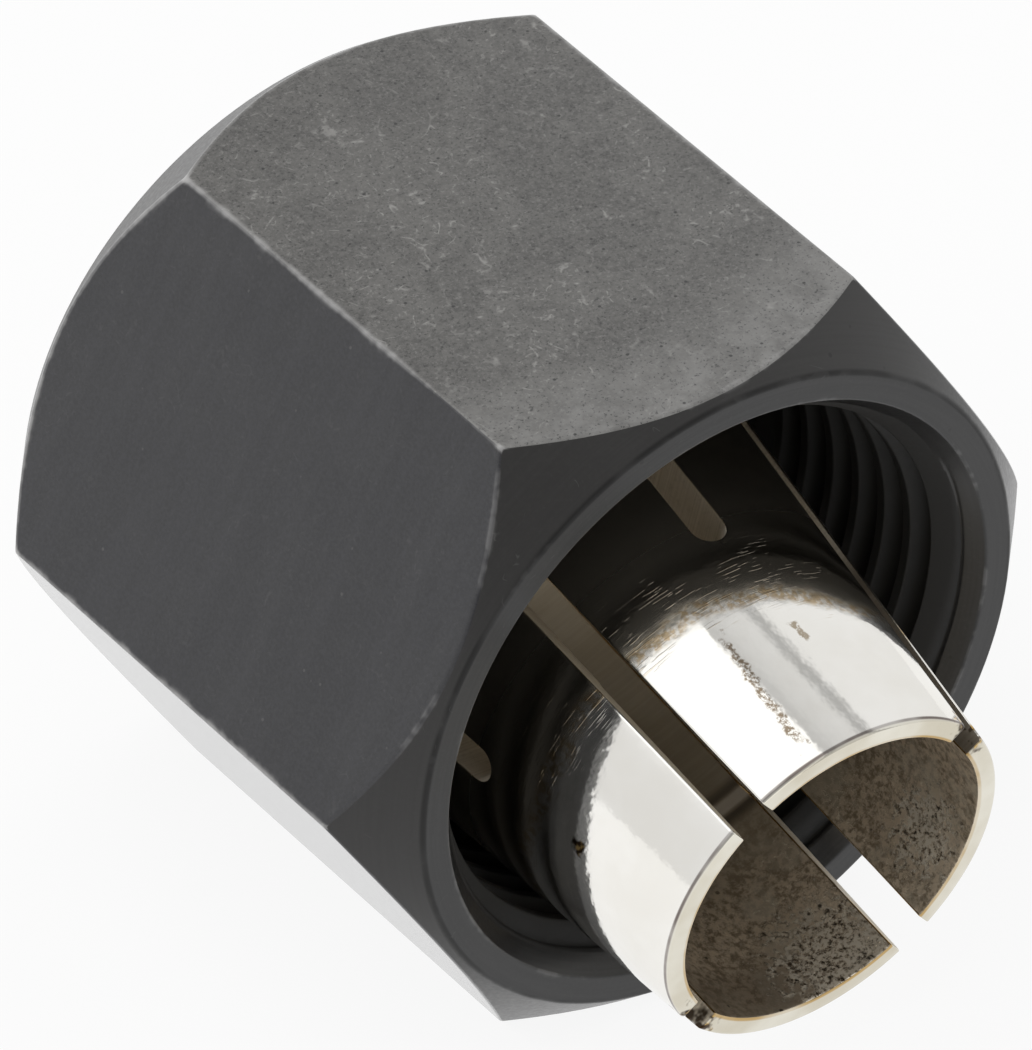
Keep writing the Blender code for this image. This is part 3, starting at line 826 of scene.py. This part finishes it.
def nickel_bright():
    """Bright nickel on a polished taper, scratched and filmed with brown where it goes into the nut, with
    painted reflections at the film's edge and on the tip's round.
    """
    n = Nodes("nickel_bright")
    at = n.place()
    cloud = n.noise(at, 260.0, 3.0, 0.6)
    grain = n.noise(at, 2600.0, 3.0, 0.65)
    at_left, on_front = finger_place(n)
    back = n.times(n.math("SUBTRACT", 1.0, at_left), on_front)
    reach = n.math("SUBTRACT", n.along(), n.times(back, 2.2 * MM))
    reach = n.math("ADD", reach, n.times(n.math("SUBTRACT", cloud, 0.5), 2.0 * MM))
    clean = n.remap(reach, 19.2 * MM, 20.2 * MM)
    edge = n.math("ABSOLUTE", n.math("SUBTRACT", reach, 19.6 * MM))
    rubbed = n.times(n.remap(reach, 15.8 * MM, 18.6 * MM), n.remap(reach, 21.2 * MM, 20.0 * MM))
    patchy = n.remap(n.noise(at, 620.0, 1.0, 0.6), 0.40, 0.60, 0.1, 1.0)
    rubbed = n.times(rubbed, patchy)
    white = n.mix(n.remap(cloud, 0.3, 0.7), (0.93, 0.915, 0.875), (0.88, 0.86, 0.81))
    base = n.mix(clean, (0.68, 0.62, 0.51), white)
    cuts = n.most(n.scratches(13000.0, 7.0, 0.63), n.scratches(9000.0, 3.5, 0.65))
    marks = n.times(cuts, n.remap(rubbed, 0.0, 1.0, 0.02, 1.0))
    base = n.mix(n.times(marks, 0.35), base, (0.52, 0.40, 0.22))
    # The brown fringe at the film's edge is partly brown film and partly a painted reflection: it lies where
    # the taper's reflection turns from the nut's dark inside to the bright tent, and stands in for the tinted
    # glint there.
    film_and_reflection_fringe = n.times(n.remap(edge, 0.55 * MM, 0.15 * MM), n.remap(grain, 0.40, 0.60))
    dotted = n.remap(n.noise(at, 7400.0, 2.0, 0.65), 0.36, 0.60)
    seam = n.times(n.stroke(SCUFF_LINE, 0.22 * MM), dotted)
    base = n.mix(n.times(film_and_reflection_fringe, 0.7), base, (0.56, 0.39, 0.18))
    base = n.mix(n.times(seam, 0.9), base, (0.19, 0.13, 0.07))

    lip = n.remap(n.radius(), 6.98 * MM, 6.90 * MM)
    tip = n.remap(n.along(), 27.22 * MM, 27.38 * MM)
    cream = n.mix(n.remap(cloud, 0.3, 0.7), (0.76, 0.73, 0.63), (0.60, 0.55, 0.43))
    base = n.mix(n.times(tip, 0.85), base, cream)
    # Painted dark reflection: a thin dark line on the tip's outer round, where that bevel reflects something
    # dark.
    painted_dark_rim = n.remap(n.math("ABSOLUTE", n.math("SUBTRACT", n.along(), 27.24 * MM)), 0.10 * MM, 0.03 * MM)
    base = n.mix(n.times(painted_dark_rim, n.remap(cloud, 0.35, 0.6, 0.5, 0.9)), base, (0.11, 0.08, 0.07))
    base = n.mix(n.times(lip, n.remap(cloud, 0.4, 0.6, 0.3, 0.9)), base, (0.50, 0.33, 0.12))

    pits = n.times(n.specks(at, 1100.0, 0.10, 0.03), 0.9)
    dent = n.times(n.stroke(DENT, 0.24 * MM), n.remap(n.noise(at, 6200.0, 2.0, 0.6), 0.30, 0.54))
    base = n.mix(n.times(dent, 0.8), base, (0.30, 0.23, 0.14))
    damage = n.most(n.most(n.spot(NICK, 0.42 * MM), burrs(n)), pits)
    tarnish = n.mix(n.remap(grain, 0.5, 0.66), (0.045, 0.026, 0.012), (0.62, 0.42, 0.16))
    base = n.mix(damage, base, tarnish)
    deep = n.remap(n.along(), 18.6 * MM, 15.6 * MM, 0.12, 0.30)
    rough = n.mix_value(clean, deep, 0.08)
    rough = n.math("ADD", rough, n.remap(edge, 0.9 * MM, 0.2 * MM, 0.0, 0.08))
    waves = n.noise(at, 1500.0, 2.0, 0.55)
    band = n.times(n.remap(n.along(), 15.6 * MM, 18.4 * MM), n.remap(n.along(), 21.2 * MM, 19.5 * MM))
    cuts = n.times(n.times(cuts, patchy), band)
    n.bump((lean(n), 1.0), (waves, 0.009 * MM), (cuts, 0.0022 * MM))
    return n.surface(base_color=base, roughness=rough, metallic=1.0)


def finger_place(n):
    """How far a point is to the left on its finger, and whether that is the front half's finger."""
    at = n.place()
    beside = n.dot(at, LEAN_WAY)
    above = n.dot(at, FIRST_SLIT_WAY)
    return n.remap(beside, 1.0 * MM, 7.5 * MM), n.math("GREATER_THAN", above, 0.0)


def lean(n):
    """A height that tips one finger's surface a degree or two to its tip, most at that finger's left side."""
    at_left, on_front = finger_place(n)
    return n.times(n.times(n.along(), n.times(at_left, on_front)), -0.032)


def burrs(n):
    """Turned-over, browned metal at the outer ends of two slits."""
    return n.most(n.spot(BURRS[0], 1.25 * MM), n.spot(BURRS[1], 1.35 * MM))


def nickel_bore():
    """The bore: satin and brown inside, mottled towards the tip and pitted through in two places, with
    painted shade on one side near the tip.
    """
    n = Nodes("nickel_bore")
    at = n.place()
    cloud = n.noise(at, 420.0, 3.0, 0.65)
    grain = n.noise(at, 3200.0, 3.0, 0.7)
    hoops = n.noise(n.turned(5200.0, 1.5), 1.0, 2.0, 0.6)
    near = n.remap(n.along(), 17.5 * MM, 23 * MM)
    satin = n.mix(n.remap(hoops, 0.2, 0.8), (0.33, 0.285, 0.215), (0.38, 0.33, 0.25))
    mottled = n.mix(n.remap(grain, 0.36, 0.62), (0.23, 0.18, 0.12), (0.68, 0.575, 0.44))
    mottled = n.mix(n.times(n.remap(cloud, 0.48, 0.66), 0.6), mottled, (0.70, 0.64, 0.52))
    base = n.mix(n.times(near, 0.9), satin, mottled)
    # Painted shade: the bore darkened on one side towards the tip, where shade falls inside it.
    aside = n.dot(at, BORE_SHADE_WAY)
    painted_bore_shade = n.times(n.remap(aside, 3.5 * MM, 6.5 * MM), n.remap(n.along(), 23.6 * MM, 26.0 * MM))
    base = n.mix(n.times(painted_bore_shade, 0.6), base, (0.12, 0.09, 0.06))
    step = n.remap(n.math("ABSOLUTE", n.math("SUBTRACT", n.along(), STEP_Z)), 0.9 * MM, 0.4 * MM)
    base = n.mix(n.times(step, 0.8), base, (0.10, 0.082, 0.06))
    eaten = n.most(n.spot(PITTED[0], 3.0 * MM), n.spot(PITTED[1], 2.0 * MM))
    speckle = n.noise(at, 5200.0, 3.0, 0.75)
    holes = n.remap(speckle, 0.56, 0.63)
    # Bare metal where the plating is eaten through, partly painted: its near-white colour stands in for the
    # glints on those patches.
    bare_and_glint = n.times(n.remap(speckle, 0.58, 0.44), eaten)
    base = n.mix(n.times(bare_and_glint, 0.95), base, (1.0, 0.93, 0.79))
    pits = n.times(holes, n.most(eaten, n.times(near, 0.12)))
    pits = n.most(pits, n.times(n.specks(at, 1900.0, 0.22, 0.10), near))
    base = n.mix(n.times(pits, 0.92), base, (0.02, 0.014, 0.008))
    rough = n.math("SUBTRACT", n.remap(cloud, 0.35, 0.65, 0.46, 0.34), n.times(eaten, 0.20))
    between = n.times(n.remap(speckle, 0.63, 0.56), near)
    n.bump((grain, 0.006 * MM), (between, 0.008 * MM))
    return n.surface(base_color=base, roughness=rough, metallic=0.6)


def nickel_slit():
    """The slits' sawn walls: satin brown-grey with fine marks across, and painted shade on the walls of one
    of them.
    """
    n = Nodes("nickel_slit")
    at = n.place()
    saw = n.noise(n.stretched(0.0, 7000.0), 1.0, 2.0, 0.5)
    grain = n.noise(at, 3600.0, 3.0, 0.6)
    base = n.mix(n.remap(saw, 0.3, 0.7), (0.61, 0.545, 0.43), (0.77, 0.70, 0.58))
    base = n.mix(n.times(n.remap(grain, 0.5, 0.8), 0.25), base, (0.24, 0.195, 0.135))
    # Painted shade: the walls of the first slit darkened from just inside the nut's mouth out to the tip, for
    # the shade deep in that narrow gap; the burrs' real browned metal shares the same dark colour.
    toward = n.dot(at, FIRST_SLIT_WAY)
    painted_slit_shade = n.times(n.remap(toward, 5.8 * MM, 6.2 * MM), n.remap(n.along(), 16 * MM, 19 * MM))
    base = n.mix(n.most(burrs(n), n.times(painted_slit_shade, 0.85)), base, (0.045, 0.030, 0.016))
    n.bump((saw, 0.004 * MM), (grain, 0.004 * MM))
    return n.surface(base_color=base, roughness=n.remap(grain, 0.2, 0.8, 0.50, 0.64), metallic=0.55)


def spring_wire():
    """The retaining ring's wire: plain grey steel."""
    n = Nodes("spring_wire")
    grain = n.noise(n.place(), 2500.0, 3.0, 0.6)
    base = n.mix(n.remap(grain, 0.3, 0.75), (0.20, 0.19, 0.18), (0.42, 0.41, 0.39))
    n.bump((grain, 0.004 * MM))
    return n.surface(base_color=base, roughness=n.remap(grain, 0.2, 0.8, 0.28, 0.45), metallic=1.0)


# The pieces

nut = make_nut([oxide_flat(), oxide_turned(), oxide_inside()])
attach(nut, "nut")
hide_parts("collet_nut")

collet = make_collet([nickel_bright(), nickel_bore(), nickel_slit()])
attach(collet, "collet")
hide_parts("split_collet")

ring = make_ring(spring_wire())
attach(ring, "ring")
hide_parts("retaining_ring")


# Floor, world, lamps and camera

BACK = Vector((-0.45878, -0.60882, 0.64719)).normalized()
RIGHT = Vector((0.798636, -0.601815, 0)).normalized()
UP = BACK.cross(RIGHT)
FOCAL_PIXELS = 14760.6
CAMERA_DISTANCE = 0.5625
SENSOR_WIDTH = 36.0

# How bright the tent is from left to right, as (x of the direction, level)
TENT = ((-1.0, 0.80), (-0.8, 0.82), (-0.6, 1.25), (0.10, 1.25), (0.13, 0.52), (0.22, 0.66), (0.37, 0.74),
        (0.43, 0.40), (0.48, 0.86), (1.0, 0.88))
BRIGHTEST = 1.25
AROUND_CAMERA = 0.48


def seen_share(tree, whole, others):
    """1 for what the camera, a mirror or a pane sees, and less for light that falls on things."""
    path = tree.nodes.new("ShaderNodeLightPath")
    value = path.outputs["Is Camera Ray"]
    for name in ("Is Glossy Ray", "Is Transmission Ray"):
        most = tree.nodes.new("ShaderNodeMath")
        most.operation = "MAXIMUM"
        tree.links.new(value, most.inputs[0])
        tree.links.new(path.outputs[name], most.inputs[1])
        value = most.outputs[0]
    scaled = tree.nodes.new("ShaderNodeMapRange")
    tree.links.new(value, scaled.inputs["Value"])
    scaled.inputs["To Min"].default_value = others
    scaled.inputs["To Max"].default_value = whole
    return scaled.outputs[0]


def make_floor():
    """A pale floor that shows near white, with the object's shadow kept."""
    bm = bmesh.new()
    bmesh.ops.create_circle(bm, cap_ends=True, segments=96, radius=3.0)
    mesh = bpy.data.meshes.new("floor")
    bm.to_mesh(mesh)
    bm.free()
    floor = bpy.data.objects.new("floor", mesh)
    bpy.context.scene.collection.objects.link(floor)
    n = Nodes("floor")
    speck = n.noise(n.add("ShaderNodeTexCoord").outputs["Object"], 700.0, 0.0)
    color = n.mix(speck, (0.90, 0.90, 0.90), (0.92, 0.92, 0.92))
    n.surface(base_color=color, roughness=0.8)
    glow = n.add("ShaderNodeEmission", {"Color": (1, 1, 1, 1), "Strength": 1.0})
    both = n.add("ShaderNodeMixShader", {0: seen_share(n.tree, 0.90, 0.0)})
    n.tree.links.new(n.shader.outputs[0], both.inputs[1])
    n.tree.links.new(glow.outputs[0], both.inputs[2])
    n.tree.links.new(both.outputs[0], n.tree.nodes["Material Output"].inputs["Surface"])
    mesh.materials.append(n.material)


def make_world():
    """A pale tent: a bright panel overhead on the left, a greyer roof, and dark round the camera."""
    world = bpy.data.worlds.new("studio")
    bpy.context.scene.world = world
    world.use_nodes = True
    tree = world.node_tree
    background = tree.nodes["Background"]
    toward = tree.nodes.new("ShaderNodeTexCoord").outputs["Generated"]

    sideways = tree.nodes.new("ShaderNodeSeparateXYZ")
    tree.links.new(toward, sideways.inputs[0])
    place = tree.nodes.new("ShaderNodeMapRange")
    tree.links.new(sideways.outputs[0], place.inputs["Value"])
    place.inputs["From Min"].default_value = -1.0
    panels = tree.nodes.new("ShaderNodeValToRGB")
    tree.links.new(place.outputs[0], panels.inputs[0])
    ramp = panels.color_ramp
    for x, level in TENT:
        end = {-1.0: 0, 1.0: len(ramp.elements) - 1}.get(x)
        stop = ramp.elements.new((x + 1) / 2) if end is None else ramp.elements[end]
        stop.color = (level / BRIGHTEST, level / BRIGHTEST, level / BRIGHTEST, 1)

    facing = tree.nodes.new("ShaderNodeVectorMath")
    facing.operation = "DOT_PRODUCT"
    tree.links.new(toward, facing.inputs[0])
    facing.inputs[1].default_value = BACK
    shade = tree.nodes.new("ShaderNodeMapRange")
    shade.interpolation_type = "SMOOTHSTEP"
    tree.links.new(facing.outputs["Value"], shade.inputs["Value"])
    levels = {"From Min": 0.72, "From Max": 0.96, "To Min": BRIGHTEST, "To Max": AROUND_CAMERA}
    for name, value in levels.items():
        shade.inputs[name].default_value = value
    both = tree.nodes.new("ShaderNodeMix")
    both.data_type = "RGBA"
    both.blend_type = "MULTIPLY"
    both.inputs[0].default_value = 1.0
    tree.links.new(panels.outputs[0], both.inputs[6])
    tree.links.new(shade.outputs[0], both.inputs[7])
    tree.links.new(both.outputs[2], background.inputs["Color"])
    tree.links.new(seen_share(tree, 1.0, 0.6), background.inputs["Strength"])


def softbox(name, direction, distance, width, length, strength):
    """A panel lamp that looks at the object; strength is how bright its face is."""
    data = bpy.data.lights.new(name, "AREA")
    data.shape = "RECTANGLE"
    data.size, data.size_y = width, length
    data.energy = strength * math.pi * width * length
    lamp = bpy.data.objects.new(name, data)
    bpy.context.scene.collection.objects.link(lamp)
    lamp.visible_glossy = False
    direction = Vector(direction).normalized()
    lamp.location = direction * distance + Vector((0, 0, AXIS_HEIGHT))
    lamp.rotation_mode = "QUATERNION"
    lamp.rotation_quaternion = direction.to_track_quat("Z", "Y")


def make_camera():
    """The photograph's viewpoint, from a fit to the hexagon's corners and chamfers."""
    data = bpy.data.cameras.new("camera")
    camera = bpy.data.objects.new("camera", data)
    bpy.context.scene.collection.objects.link(camera)
    data.sensor_width = SENSOR_WIDTH
    data.lens = FOCAL_PIXELS / 1050 * SENSOR_WIDTH
    data.clip_start, data.clip_end = 0.01, 10.0
    aim = Vector((0, -0.00019, AXIS_HEIGHT)) - RIGHT * 0.00009 - UP * 0.00027
    turned = Matrix((RIGHT, UP, BACK)).transposed().to_4x4()
    camera.matrix_world = Matrix.Translation(aim + BACK * CAMERA_DISTANCE) @ turned
    bpy.context.scene.camera = camera


make_floor()
make_world()
softbox("key", (-0.5, 0.15, 0.866), 0.7, 0.74, 0.8, 1.3)
softbox("fill", (0.804, 0.25, 0.595), 0.8, 0.63, 0.6, 0.9)
make_camera()
bpy.context.scene.view_settings.view_transform = "Standard"
